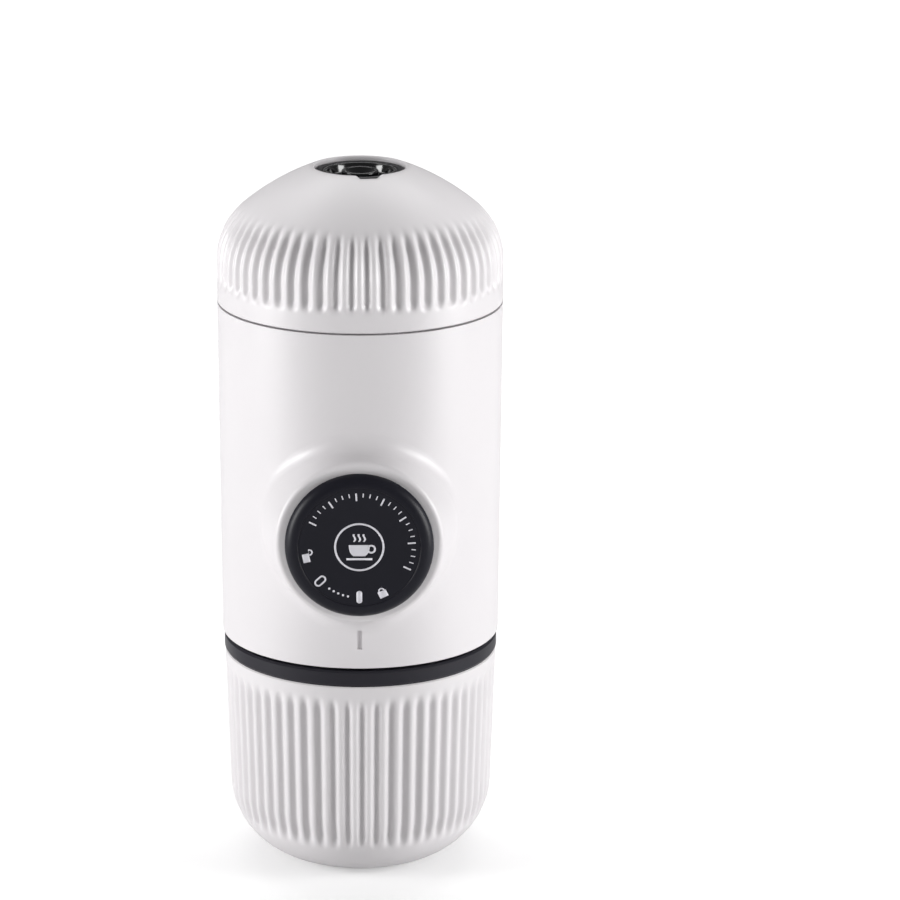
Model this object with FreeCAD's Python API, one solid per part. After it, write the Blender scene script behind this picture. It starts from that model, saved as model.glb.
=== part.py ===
"""Handheld manual espresso maker: ribbed outlet cover on top, pump body with its round
knob in the middle, water tank and ribbed cup below. Millimetres, +Z up, knob towards -Y,
origin at the centre of the cup's flat base."""
import FreeCAD, Part
import math
import os

from FreeCAD import Vector

# Whole object
total_height = 156.0
body_top_r = 31.0
body_draft = 0.55
seam_z = 126.2
seam_gap = 0.35
body_wall = 2.4

# Cup
cup_height = 47.7
cup_step = 0.5
cup_draft = 0.95
cup_corner_r = 17.3
cup_wall = 2.2
cup_floor = 2.4

# Collar between cup and body
collar_height = 3.6
collar_overhang = 0.15
collar_gap = 0.9
collar_spigot_length = 4.2
collar_spigot_wall = 1.1

# Outlet cover
dome_corner_r = 14.36
dome_corner_angle = 49.8
dome_crown_r = 54.0
mouth_r = 9.9
mouth_edge_r = 0.5
cover_wall = 1.8
notch_width = 4.6
notch_depth = 0.8
notch_offset = 1.9

# Ribs: grooves cut between them
cover_rib_count = 60
cup_rib_count = 59
cup_rib_turn = 0.9
groove_cutter_r = 0.75
groove_depth = 0.6
cover_groove_bottom_z = 133.0
cover_groove_dome_angle = 34.0
cup_groove_top_z = 41.7
cup_groove_corner_angle = 14.0
groove_runout = 4.6
groove_end_r = 6.0

# Knob and its boss on the body
knob_z = 82.4
knob_reach = 9.0
knob_rim_overhang = 1.35
knob_thickness = 6.2
knob_rim_depth = 2.6
knob_edge_r = 2.55
knob_edge_width = 2.4
knob_face_land = 0.45
knob_face_depth = 0.5
knob_face_thickness = 0.8
knob_web = 1.4
knob_sleeve_gap = 0.6
knob_skirt_wall = 1.4
knob_skirt_clearance = 0.4
boss_knob_gap = 0.2
boss_rim_wall = 3.0
boss_flare = 4.2
boss_root_y = -19.0
boss_blend_r = 4.0
boss_edge_r = 1.2
boss_seat_gap = 0.6
index_mark_length = 4.3
index_mark_width = 1.0
index_mark_depth = 0.4
index_mark_z = 58.65

# Pump
stroke = 22.0
pump_bore_r = 6.0
pump_cylinder_wall = 2.2
pump_bore_end_y = 6.5
pump_end_wall = 2.5
pump_flange_width = 4.05
pump_flange_front_y = 0.6
pump_flange_thickness = 2.6
piston_rod_r = 2.8
piston_head_length = 7.0
piston_end_gap = 0.6
piston_clearance = 0.25
piston_seal_clearance = 0.05
piston_seal_width = 2.4
piston_seal_depth = 1.3
return_spring_room = 2.7
sleeve_wall = 1.5
sleeve_lug_height = 1.0
sleeve_lug_length = 2.2
sleeve_inner_y = -0.9
guide_clearance = 0.25
guide_bush_length = 7.6
guide_wall = 1.3
guide_flange_thickness = 2.4
guide_step = 0.7
guide_shoulder = 1.9
guide_front_gap = 0.2
rod_seat_depth = 2.6
rod_boss_wall = 2.0
return_wire_r = 0.5
return_turns = 11
pump_screw_inset = 1.9

# Valve column behind the pump bore
column_y = 13.5
column_r = 6.0
column_bottom_z = 64.4
column_top_z = 105.0
passage_r = 1.5
valve_chamber_r = 2.9
inlet_chamber_top_z = 76.5
outlet_seat_z = 88.5
valve_ball_r = 2.2
valve_spring_wire_r = 0.2
valve_spring_turns = 4
ball_seat_gap = 0.03
inlet_fitting_top_z = 67.0
inlet_fitting_flange_r = 5.0
outlet_fitting_bottom_z = 99.5
outlet_fitting_r = 4.4
outlet_fitting_flange_r = 5.6
outlet_fitting_flange_h = 1.5
riser_r = 2.6
riser_wall = 1.1
riser_shoulder_z = 101.2
riser_seat_depth = 3.2
riser_seal_section = 1.1
fit_gap = 0.05

# Relief valve, along +X from the column
relief_boss_r = 4.2
relief_boss_end_x = 16.0
relief_passage_r = 1.0
relief_seat_x = 7.2
relief_bore_r = 2.4
relief_cap_depth = 3.2
relief_cap_flange_r = 4.2
relief_cap_flange = 1.6
poppet_r = 2.2
poppet_length = 2.6
relief_wire_r = 0.2
relief_turns = 3

# Threads: three starts each, one turn moves the screwed piece by the lead
thread_starts = 3
thread_lead = 9.0
thread_base = 1.3
thread_tip = 0.6
thread_height = 0.9
thread_crest_gap = 0.45
thread_root_gap = 0.35
thread_sink = 0.25
thread_turn_fraction = 0.36
holder_thread_inset = 4.2
tank_thread_inset = 4.4

# Brew head, gasket, basket and filter holder
head_plate_thickness = 6.2
head_pocket_depth = 3.8
head_pocket_inset = 5.6
head_spigot_height = 5.0
head_ledge_width = 2.6
head_ledge_thickness = 2.5
head_centre_boss_r = 3.6
head_riser_boss_r = 5.2
shower_chamber_r = 19.0
shower_chamber_depth = 2.4
shower_screen_r = 20.2
shower_screen_thickness = 0.5
gasket_inner_r = 21.0
gasket_outer_r = 23.9
gasket_groove_depth = 0.7
gasket_height = 1.65
basket_inner_r = 19.4
basket_wall = 0.4
basket_rim_r = 23.6
basket_rim_thickness = 0.5
basket_depth = 12.8
holder_clearance = 0.45
holder_basket_gap = 0.4
holder_inner_wall = 1.7
holder_rim_gap = 0.1
holder_cavity_top_z = 141.2
holder_roof_rise = 2.4
spout_flange_r = 8.05
spout_stem_r = 7.05
spout_boss_wall = 1.2
spout_top_drop = 0.9
spout_flange_height = 2.8
spout_hole_r = 1.6
spout_nozzle_r = 3.2
spout_stem_length = 2.6

# Tank, its socket in the body and its seals
tank_cup_gap = 1.0
tank_wall = 1.8
tank_bottom_z = 8.6
tank_corner_r = 12.0
neck_height = 8.1
neck_wall = 2.2
tank_gasket_height = 1.0
tank_gasket_inset = 0.6
tank_gasket_width = 2.8
tank_seat_gap = 0.1
socket_plate_thickness = 2.8
socket_skirt_lift = 0.8
socket_ledge_width = 2.6
socket_ledge_thickness = 2.0
socket_intake_r = 6.2
intake_screen_thickness = 0.5
cup_seal_depth = 0.6
cup_seal_height = 1.4
cup_seal_gap = 0.08
air_valve_stem_r = 1.9
air_valve_head_r = 4.0
air_valve_head_h = 1.2

# Screws
screw_shank_r = 0.95
screw_head_r = 1.35
screw_head_h = 1.3
screw_boss_r = 2.2
screw_depth = 7.5
head_screw_inset = 2.25
socket_screw_inset = 1.6
screw_turn = 90.0

# Perforations of the two screens
hole_r = 0.45
hole_rings = 5
hole_pitch = 3.5

# Worked out from the values above
body_bottom_r = body_top_r - body_draft
body_bore_r = body_top_r - body_wall
cup_rim_r = body_bottom_r - cup_step
cup_low_r = cup_rim_r - cup_draft
collar_r = cup_rim_r + collar_overhang
tank_r = cup_low_r - cup_wall - tank_cup_gap
holder_thread_r = body_bore_r - holder_thread_inset
tank_thread_r = body_bore_r - tank_thread_inset
head_pocket_r = body_bore_r - head_pocket_inset
screw_circle_r = body_bore_r - head_screw_inset
socket_screw_circle_r = body_bore_r - socket_screw_inset
collar_top_z = cup_height + collar_height
body_bottom_z = collar_top_z + collar_gap
cover_bottom_z = seam_z + seam_gap
spigot_top_z = seam_z + head_spigot_height
head_bottom_z = seam_z - head_plate_thickness
basket_rim_z = spigot_top_z - gasket_groove_depth + fit_gap + gasket_height
basket_end_z = basket_rim_z + basket_depth
neck_top_z = collar_top_z + neck_height
socket_roof_z = neck_top_z + tank_gasket_height + tank_seat_gap
socket_top_z = socket_roof_z + socket_plate_thickness
pump_cylinder_r = pump_bore_r + pump_cylinder_wall
sleeve_r = pump_cylinder_r + return_spring_room + sleeve_wall
sleeve_lug_r = sleeve_r + sleeve_lug_height
return_coil_r = pump_cylinder_r + return_spring_room / 2
knob_skirt_r = sleeve_r + knob_sleeve_gap + knob_skirt_wall
knob_r = knob_skirt_r + knob_rim_overhang
knob_face_r = knob_r - knob_edge_width - knob_face_land
boss_front_r = knob_skirt_r + knob_skirt_clearance + boss_rim_wall
boss_root_r = boss_front_r + boss_flare
knob_front_y = -(body_top_r + knob_reach)
knob_back_y = knob_front_y + knob_thickness
knob_rim_y = knob_front_y + knob_rim_depth
boss_front_y = knob_rim_y + boss_knob_gap
boss_seat_y = knob_back_y + boss_seat_gap
piston_front_y = pump_bore_end_y - piston_end_gap
piston_back_y = piston_front_y - piston_head_length
pump_cylinder_front_y = piston_back_y - stroke - 0.5
pump_flange_back_y = pump_flange_front_y + pump_flange_thickness
guide_bore_r = sleeve_r + guide_clearance
guide_chamber_r = sleeve_lug_r + guide_clearance
guide_r = guide_chamber_r + guide_wall
pump_flange_r = guide_r + pump_flange_width
pump_screw_circle_r = pump_flange_r - pump_screw_inset
guide_front_y = boss_seat_y + guide_front_gap
guide_bush_back_y = guide_front_y + guide_bush_length

UP = Vector(0, 0, 1)


def save(shape, node):
    """Write one sub-part to its own file."""
    if shape.ShapeType == "Compound" and len(shape.Solids) == 1:
        shape = shape.Solids[0]
    if not shape.isValid():
        print("not valid:", node)
    shape.exportStep("parts/" + node + ".step")
    print(node, len(shape.Solids), round(shape.Volume, 2))


def cylinder(r, z0, z1, x=0.0, y=0.0):
    return Part.makeCylinder(r, z1 - z0, Vector(x, y, z0), UP)


def tube(r_out, r_in, z0, z1, x=0.0, y=0.0):
    return cylinder(r_out, z0, z1, x, y).cut(cylinder(r_in, z0, z1, x, y))


def rod_y(r, y0, y1):
    """A cylinder along Y on the knob's axis, from y0 to y1."""
    return Part.makeCylinder(r, y1 - y0, Vector(0, y0, knob_z), Vector(0, 1, 0))


def tube_y(r_out, r_in, y0, y1):
    return rod_y(r_out, y0, y1).cut(rod_y(r_in, y0, y1))


def outline(points):
    """Edges through (r, z) points; a three-value point (r, z, (mr, mz)) is reached by an arc."""
    edges = []
    last = points[0]
    for point in points[1:] + [points[0]]:
        start = Vector(last[0], 0, last[1])
        end = Vector(point[0], 0, point[1])
        if len(point) == 3:
            middle = Vector(point[2][0], 0, point[2][1])
            edges.append(Part.Arc(start, middle, end).toShape())
        elif start.distanceToPoint(end) > 1e-7:
            edges.append(Part.makeLine(start, end))
        last = point[:2]
    return Part.Wire(edges)


def revolve(points):
    """Solid of revolution about Z from an outline of (r, z) points."""
    face = Part.Face(outline(points))
    return face.revolve(Vector(0, 0, 0), UP, 360)


def revolve_y(points):
    """Solid of revolution about the knob's axis from (r, depth) points, depth along +Y."""
    solid = revolve(points)
    solid.rotate(Vector(0, 0, 0), Vector(1, 0, 0), -90)
    solid.translate(Vector(0, 0, knob_z))
    return solid


def around(shape, count, start=0.0, centre=Vector(0, 0, 0), axis=UP):
    """Copies of a shape turned evenly about an axis."""
    copies = []
    for step in range(count):
        copy = shape.copy()
        copy.rotate(centre, axis, start + 360.0 * step / count)
        copies.append(copy)
    return copies


def on_arc(centre_r, centre_z, radius, degrees):
    angle = math.radians(degrees)
    return (centre_r + radius * math.cos(angle), centre_z + radius * math.sin(angle))


# The dome's section: a corner arc from the vertical side, then a shallow crown arc to the mouth
crown_centre_r = body_top_r - dome_corner_r - (dome_crown_r - dome_corner_r) * math.cos(
    math.radians(dome_corner_angle))
mouth_lip_r = mouth_r + mouth_edge_r
crown_centre_z = total_height - math.sqrt(dome_crown_r ** 2 - (mouth_lip_r - crown_centre_r) ** 2)
corner_centre_r = body_top_r - dome_corner_r
corner_centre_z = crown_centre_z + (dome_crown_r - dome_corner_r) * math.sin(
    math.radians(dome_corner_angle))


def crown_z(inset, r):
    """Height of the crown arc, moved inwards by inset, at radius r."""
    return crown_centre_z + math.sqrt((dome_crown_r - inset) ** 2 - (r - crown_centre_r) ** 2)


def dome_points(inset, end_r):
    """Dome section from the vertical side to radius end_r, moved inwards by inset."""
    corner = dome_corner_r - inset
    crown = dome_crown_r - inset
    top_z = crown_z(inset, end_r)
    end_angle = math.degrees(math.asin((top_z - crown_centre_z) / crown))
    middle_angle = (dome_corner_angle + end_angle) / 2
    joint = on_arc(corner_centre_r, corner_centre_z, corner, dome_corner_angle)
    return [
        (body_top_r - inset, corner_centre_z),
        joint + (on_arc(corner_centre_r, corner_centre_z, corner, dome_corner_angle / 2),),
        (end_r, top_z, on_arc(crown_centre_r, crown_centre_z, crown, middle_angle)),
    ]


def circle_edges(shape, r, z):
    """Full circular edges of a given radius and height."""
    found = []
    for edge in shape.Edges:
        curve = edge.Curve
        if isinstance(curve, Part.Circle) and abs(curve.Radius - r) < 1e-4:
            if abs(curve.Center.z - z) < 1e-4 and abs(curve.Axis.z) > 0.999:
                found.append(edge)
    return found


def tube_along(edges, r):
    """A round tube along tangent edges."""
    path = Part.Wire(edges)
    start = path.Edges[0]
    first = start.valueAt(start.FirstParameter)
    direction = start.tangentAt(start.FirstParameter)
    ring = Part.Wire(Part.makeCircle(r, first, direction))
    return path.makePipe(Part.Face(ring))


def groove_cutter(surface_points, bend, run_in, run_out):
    """Round cutter that follows a side line and one corner arc, and runs out at both ends.

    surface_points are the side line's two ends as (r, z); bend is the corner arc's centre
    radius, centre height, radius and signed angle. run_in is the length of the rounded start
    and run_out that of the straight finish.
    """
    offset = groove_cutter_r - groove_depth
    (r0, z0), (r1, z1) = surface_points
    side = Vector(r1 - r0, 0, z1 - z0).normalize()
    turn = 1.0 if bend[3] > 0 else -1.0
    away = Vector(side.z * turn, 0, -side.x * turn)
    if away.x < 0:
        away = away * -1
    start = Vector(r0, 0, z0) + away * offset
    end = Vector(r1, 0, z1) + away * offset
    entry_angle = run_in / groove_end_r
    lead = start - side * (groove_end_r * math.sin(entry_angle))
    lead = lead + away * (groove_end_r * (1 - math.cos(entry_angle)))
    half = entry_angle / 2
    middle = start - side * (groove_end_r * math.sin(half))
    middle = middle + away * (groove_end_r * (1 - math.cos(half)))
    centre = Vector(bend[0], 0, bend[1])
    radius = bend[2] + offset
    base = math.degrees(math.atan2(end.z - centre.z, end.x - centre.x))
    arc_middle = on_arc(centre.x, centre.z, radius, base + bend[3] / 2)
    arc_end = on_arc(centre.x, centre.z, radius, base + bend[3])
    tangent = math.radians(base + bend[3]) + turn * math.pi / 2
    last = Vector(arc_end[0], 0, arc_end[1])
    finish = last + Vector(math.cos(tangent), 0, math.sin(tangent)) * run_out
    edges = [
        Part.Arc(lead, middle, start).toShape(),
        Part.makeLine(start, end),
        Part.Arc(end, Vector(arc_middle[0], 0, arc_middle[1]), last).toShape(),
        Part.makeLine(last, finish),
    ]
    return tube_along(edges, groove_cutter_r)


def thread_ridges(root_r, height, z0, outward, turn_start):
    """Three helical ridges on a wall of radius root_r; outward says which way they stand."""
    sign = 1.0 if outward else -1.0
    rise = thread_lead * thread_turn_fraction
    ridges = []
    for start in range(thread_starts):
        helix = Part.makeHelix(thread_lead, rise, root_r)
        helix.translate(Vector(0, 0, z0 + thread_base / 2))
        inner_r = root_r - sign * thread_sink
        tip_r = root_r + sign * height
        z = z0 + thread_base / 2
        corners = [
            Vector(inner_r, 0, z - thread_base / 2),
            Vector(tip_r, 0, z - thread_tip / 2),
            Vector(tip_r, 0, z + thread_tip / 2),
            Vector(inner_r, 0, z + thread_base / 2),
        ]
        section = Part.makePolygon(corners + [corners[0]])
        ridge = Part.Wire(helix.Edges).makePipeShell([section], True, True)
        ridge.rotate(Vector(0, 0, 0), UP, turn_start + 360.0 * start / thread_starts)
        ridges.append(ridge)
    return ridges


def biarc(p0, t0, p1, t1):
    """Two arcs that join p0 to p1 and leave them along t0 and t1."""
    chord = p1 - p0
    total = t0 + t1
    spread = 2 * (1 - t0.dot(t1))
    along = chord.dot(total)
    reach = (-along + math.sqrt(along ** 2 + spread * chord.dot(chord))) / spread
    joint = (p0 + t0 * reach + p1 - t1 * reach) * 0.5
    return [tangent_arc(p0, t0, joint), tangent_arc(p1, t1 * -1, joint)]


def tangent_arc(start, direction, end):
    """Arc from start, leaving along direction, to end."""
    chord = end - start
    length = chord.Length
    unit = Vector(chord).normalize()
    bow = direction - unit * direction.dot(unit)
    lean = math.atan2(bow.Length, direction.dot(unit))
    middle = start + chord * 0.5 + bow.normalize() * (length / 2 * math.tan(lean / 2))
    return Part.Arc(start, middle, end).toShape()


def coil(coil_r, wire_r, length, turns):
    """A spring from 0 to length along Z: one unbroken tube with short straight ends."""
    rise = length - 2 * wire_r
    steps = turns * 4
    slope = rise / (turns * 2 * math.pi)
    edges = []
    points = []
    tangents = []
    for step in range(steps + 1):
        angle = math.pi / 2 * step
        points.append(Vector(coil_r * math.cos(angle), coil_r * math.sin(angle),
                             wire_r + slope * angle))
        tangents.append(Vector(-coil_r * math.sin(angle), coil_r * math.cos(angle),
                               slope).normalize())
    edges.append(Part.makeLine(points[0] - tangents[0] * (2 * wire_r), points[0]))
    for step in range(steps):
        edges += biarc(points[step], tangents[step], points[step + 1], tangents[step + 1])
    edges.append(Part.makeLine(points[-1], points[-1] + tangents[-1] * (2 * wire_r)))
    ordered = Part.Wire(Part.__sortEdges__(edges))
    first = points[0] - tangents[0] * (2 * wire_r)
    ring = Part.Wire(Part.makeCircle(wire_r, first, tangents[0]))
    solid = ordered.makePipeShell([ring], True, False)
    pitch_gap = rise / turns * math.cos(math.atan2(slope, coil_r)) - 2 * wire_r
    print("coil gap between turns", round(pitch_gap, 2))
    return solid


def perforations(z0, z1, keep_out_r):
    """Small round holes on even rings, clear of the centre."""
    holes = []
    for ring in range(1, hole_rings + 1):
        r = ring * hole_pitch
        if r < keep_out_r:
            continue
        count = 6 * ring
        for step in range(count):
            angle = 2 * math.pi * step / count
            holes.append(cylinder(hole_r, z0, z1, r * math.cos(angle), r * math.sin(angle)))
    return holes


def screws_up(circle_r, head_z, length, count, start, head_down):
    """Small screws along Z on a circle; head_down puts the head at the lower end."""
    if head_down:
        one = cylinder(screw_head_r, head_z, head_z + screw_head_h, circle_r)
        one = one.fuse(cylinder(screw_shank_r, head_z + screw_head_h, head_z + length, circle_r))
    else:
        one = cylinder(screw_head_r, head_z - screw_head_h, head_z, circle_r)
        one = one.fuse(cylinder(screw_shank_r, head_z - length, head_z - screw_head_h, circle_r))
    return Part.makeCompound(around(one, count, start))


def outlet_shell():
    """White ribbed cover with a round mouth."""
    outer = dome_points(0.0, mouth_lip_r)
    inner = dome_points(cover_wall, mouth_r)
    points = [(body_top_r, cover_bottom_z)] + outer
    points += [(mouth_r, total_height - mouth_edge_r, on_arc(
        mouth_lip_r, total_height - mouth_edge_r, mouth_edge_r, 135))]
    points += [inner[2][:2]]
    points += [inner[1][:2] + (inner[2][2],)]
    points += [inner[0][:2] + (inner[1][2],)]
    points += [(body_top_r - cover_wall, cover_bottom_z)]
    shell = revolve(points)
    cutter = groove_cutter(
        [(body_top_r, cover_groove_bottom_z), (body_top_r, corner_centre_z)],
        (corner_centre_r, corner_centre_z, dome_corner_r, cover_groove_dome_angle),
        groove_end_r * 0.6, groove_runout)
    shell = shell.cut(around(cutter, cover_rib_count, -90.0 + 180.0 / cover_rib_count))
    scoop_r = (notch_width ** 2 / 4 + notch_depth ** 2) / (2 * notch_depth)
    notch = Part.makeCylinder(scoop_r, mouth_r, Vector(notch_offset, -mouth_r - 2.0,
                                                       total_height + scoop_r - notch_depth),
                              Vector(0, 1, 0))
    return shell.cut(notch)


def holder_profile():
    """Section of the filter holder: skirt, dome wall, spout boss and basket well."""
    inset = cover_wall + holder_clearance
    boss_r = spout_flange_r + spout_boss_wall
    dome = dome_points(inset, boss_r)
    well_r = basket_inner_r + basket_wall + holder_basket_gap
    root_r = holder_thread_r + thread_height + thread_crest_gap
    rim_z = basket_rim_z + basket_rim_thickness + holder_rim_gap
    roof_z = basket_end_z + holder_basket_gap
    top_z = total_height - spout_top_drop
    ledge_z = top_z - spout_flange_height
    points = [(body_top_r - inset, cover_bottom_z + fit_gap)] + dome
    points += [(boss_r, top_z), (spout_flange_r + fit_gap, top_z)]
    points += [(spout_flange_r + fit_gap, ledge_z), (spout_stem_r + fit_gap, ledge_z)]
    points += [(spout_stem_r + fit_gap, roof_z + holder_roof_rise), (well_r, roof_z)]
    points += [(well_r, rim_z), (well_r + holder_inner_wall, rim_z)]
    points += [(well_r + holder_inner_wall, holder_cavity_top_z), (root_r, holder_cavity_top_z)]
    points += [(root_r, cover_bottom_z + fit_gap)]
    return points, root_r


def filter_holder():
    """Black holder that screws on the brew head and carries the basket and the spout."""
    points, root_r = holder_profile()
    body = revolve(points)
    height = thread_height + thread_crest_gap - thread_root_gap
    ridges = thread_ridges(root_r, height, cover_bottom_z + 0.4, False,
                           180.0 / thread_starts)
    return body.fuse(ridges)


def spout_nozzle():
    """Black insert in the mouth: dished, with a raised nozzle ring."""
    top_z = total_height - spout_top_drop
    ledge_z = top_z - spout_flange_height
    floor_z = ledge_z + 0.9
    points = [
        (spout_hole_r, ledge_z - spout_stem_length),
        (spout_stem_r, ledge_z - spout_stem_length),
        (spout_stem_r, ledge_z),
        (spout_flange_r, ledge_z),
        (spout_flange_r, top_z),
        (spout_flange_r - 0.8, top_z),
        (spout_flange_r - 1.5, floor_z + 0.3),
        (spout_nozzle_r + 0.4, floor_z),
        (spout_nozzle_r, top_z - 0.2),
        (spout_nozzle_r - 0.8, top_z - 0.1),
        (spout_hole_r, top_z - 0.9),
    ]
    return revolve(points)


def filter_basket():
    """Pressed steel basket, mouth down, with a perforated end."""
    outer_r = basket_inner_r + basket_wall
    end_z = basket_end_z
    points = [
        (0, end_z), (outer_r, end_z), (outer_r, basket_rim_z + basket_rim_thickness),
        (basket_rim_r, basket_rim_z + basket_rim_thickness), (basket_rim_r, basket_rim_z),
        (basket_inner_r, basket_rim_z), (basket_inner_r, end_z - basket_wall),
        (0, end_z - basket_wall),
    ]
    basket = revolve(points)
    return basket.cut(perforations(end_z - 1.0, end_z + 1.0, 0.0))


def brew_gasket():
    z0 = spigot_top_z - gasket_groove_depth + fit_gap
    return tube(gasket_outer_r, gasket_inner_r, z0, z0 + gasket_height)


def brew_head():
    """Black head in the top of the body: plate, threaded spigot and shower chamber."""
    plate_r = body_bore_r - fit_gap
    head = cylinder(plate_r, head_bottom_z, seam_z)
    head = head.fuse(cylinder(holder_thread_r, seam_z, spigot_top_z))
    head = head.fuse(thread_ridges(holder_thread_r, thread_height, cover_bottom_z + 0.4, True, 0.0))
    screen_z = spigot_top_z - shower_screen_thickness - 0.1
    chamber_z = screen_z - shower_chamber_depth
    cuts = [
        tube(gasket_outer_r + 0.1, gasket_inner_r - 0.1, spigot_top_z - gasket_groove_depth,
             spigot_top_z),
        cylinder(shower_screen_r + 0.1, screen_z, spigot_top_z),
        tube(shower_chamber_r, head_centre_boss_r, chamber_z, screen_z),
        cylinder(passage_r, head_bottom_z, screen_z, 0, column_y),
        cylinder(riser_r + fit_gap, head_bottom_z, head_bottom_z + riser_seat_depth, 0, column_y),
        cylinder(riser_r + riser_seal_section + fit_gap, head_bottom_z,
                 head_bottom_z + riser_seal_section + fit_gap, 0, column_y),
        cylinder(screw_shank_r, screen_z - screw_depth + 1.0, screen_z),
    ]
    pocket = cylinder(head_pocket_r, head_bottom_z, head_bottom_z + head_pocket_depth)
    pocket = pocket.cut(cylinder(head_riser_boss_r, head_bottom_z, seam_z, 0, column_y))
    pocket = pocket.cut(cylinder(head_centre_boss_r, head_bottom_z, seam_z))
    cuts.append(pocket)
    hole = cylinder(screw_shank_r + fit_gap, head_bottom_z, seam_z, screw_circle_r)
    sink = cylinder(screw_head_r + fit_gap, seam_z - screw_head_h - 0.1, seam_z, screw_circle_r)
    cuts += around(hole.fuse(sink), 3, screw_turn)
    return head.cut(cuts)


def shower_screen():
    z1 = spigot_top_z - 0.1
    z0 = z1 - shower_screen_thickness
    disc = cylinder(shower_screen_r, z0, z1)
    holes = perforations(z0, z1, head_centre_boss_r + 1.5)
    return disc.cut(holes + [cylinder(screw_shank_r + fit_gap, z0, z1)])


def shower_screw():
    z1 = spigot_top_z - 0.1
    low = z1 - shower_screen_thickness - screw_depth + 1.5
    screw = cylinder(screw_shank_r, low, z1).fuse(cylinder(2.2, z1, z1 + 0.9))
    return screw.cut(cylinder(0.8, z1 + 0.2, z1 + 0.9))


def boss_cone(inset):
    """Cone that carries the knob's seat, along -Y from inside the body."""
    return Part.makeCone(boss_front_r - inset, boss_root_r - inset, boss_root_y - boss_front_y,
                         Vector(0, boss_front_y, knob_z), Vector(0, 1, 0))


def body_shell():
    """White middle tube with the knob boss, inner ledges and screw posts."""
    outer = Part.makeCone(body_bottom_r, body_top_r, seam_z - body_bottom_z,
                          Vector(0, 0, body_bottom_z), UP)
    solid = outer.fuse(boss_cone(0.0)).removeSplitter()
    seams = []
    rims = []
    for edge in solid.Edges:
        box = edge.BoundBox
        if box.YMax < -10 and box.XLength > boss_front_r and box.ZLength > boss_front_r:
            if box.YLength < 0.01:
                rims.append(edge)
            else:
                seams.append(edge)
    solid = solid.makeFillet(boss_blend_r, seams)
    rims = [edge for edge in solid.Edges
            if abs(edge.BoundBox.YMin - boss_front_y) < 1e-3 and edge.BoundBox.YLength < 0.01]
    solid = solid.makeFillet(boss_edge_r, rims)
    ledge_r = body_bore_r - head_ledge_width
    low_ledge_r = body_bore_r - socket_ledge_width
    bore = [
        cylinder(body_bore_r, head_bottom_z, seam_z),
        cylinder(ledge_r, head_bottom_z - head_ledge_thickness, head_bottom_z),
        cylinder(body_bore_r, socket_top_z + socket_ledge_thickness,
                 head_bottom_z - head_ledge_thickness),
        cylinder(low_ledge_r, socket_top_z, socket_top_z + socket_ledge_thickness),
        cylinder(body_bore_r, body_bottom_z, socket_top_z),
    ]
    solid = solid.cut(bore)
    upper_posts = around(cylinder(screw_boss_r, head_bottom_z - screw_depth, head_bottom_z,
                                  screw_circle_r), 3, screw_turn)
    lower_posts = around(cylinder(screw_boss_r, socket_top_z, socket_top_z + screw_depth,
                                  socket_screw_circle_r), 3, screw_turn)
    rib = Part.makeBox(8.0, body_bore_r + 0.6 - column_y - column_r, 16.0,
                       Vector(-4.0, column_y + column_r, knob_z - 8.0))
    post_limit = outer.cut(tube(60.0, body_bore_r + 0.8, body_bottom_z, seam_z))
    inside = Part.makeCompound(upper_posts + lower_posts + [rib]).common(post_limit)
    solid = solid.fuse(inside.Solids)
    shoulder_y = boss_seat_y + guide_shoulder
    holes = [
        rod_y(knob_skirt_r + knob_skirt_clearance, boss_front_y - 1.0, boss_seat_y),
        rod_y(guide_r - guide_step + fit_gap, boss_seat_y, shoulder_y),
        rod_y(guide_r + fit_gap, shoulder_y, -10.0),
    ]
    pilot = screw_shank_r
    holes += around(cylinder(pilot, head_bottom_z - screw_depth + 1.0, head_bottom_z,
                             screw_circle_r), 3, screw_turn)
    holes += around(cylinder(pilot, socket_top_z, socket_top_z + screw_depth - 1.0,
                             socket_screw_circle_r), 3, screw_turn)
    side = body_bottom_r + (body_top_r - body_bottom_r) * (
        index_mark_z - body_bottom_z) / (seam_z - body_bottom_z)
    mark = Part.makeBox(index_mark_width, 3.0, index_mark_length,
                        Vector(-index_mark_width / 2, -side + index_mark_depth - 3.0,
                               index_mark_z - index_mark_length / 2))
    holes.append(mark)
    return solid.cut(holes)


def head_screws():
    return screws_up(screw_circle_r, seam_z - 0.1, head_plate_thickness + screw_depth - 1.6, 3,
                     screw_turn, False)


def knob_guide():
    """Guide tube for the knob's sleeve: a bush in front, a wider chamber for the lugs behind."""
    front_r = guide_r - guide_step
    shoulder_y = boss_seat_y + guide_shoulder
    guide = rod_y(guide_r, shoulder_y, pump_flange_front_y)
    guide = guide.fuse(rod_y(front_r, guide_front_y, shoulder_y))
    guide = guide.fuse(rod_y(pump_flange_r, pump_flange_front_y - guide_flange_thickness,
                             pump_flange_front_y))
    guide = guide.cut(rod_y(guide_bore_r, guide_front_y, guide_bush_back_y))
    guide = guide.cut(rod_y(guide_chamber_r, guide_bush_back_y, pump_flange_front_y))
    return guide.cut(pump_screw_holes())


def pump_screw_holes():
    """Pilot holes of the four pump screws."""
    one = Part.makeCylinder(screw_shank_r, 20.0, Vector(pump_screw_circle_r, -10.0, knob_z),
                            Vector(0, 1, 0))
    return around(one, 4, 45.0, Vector(0, 0, knob_z), Vector(0, 1, 0))


def pump_screws():
    """Four screws that hold the pump to the guide tube."""
    head_y = pump_flange_back_y
    tip_y = pump_flange_front_y - guide_flange_thickness
    one = Part.makeCylinder(screw_shank_r, head_y - tip_y, Vector(pump_screw_circle_r, tip_y,
                                                                  knob_z), Vector(0, 1, 0))
    one = one.fuse(Part.makeCylinder(screw_head_r, screw_head_h, Vector(
        pump_screw_circle_r, head_y, knob_z), Vector(0, 1, 0)))
    return Part.makeCompound(around(one, 4, 45.0, Vector(0, 0, knob_z), Vector(0, 1, 0)))


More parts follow.
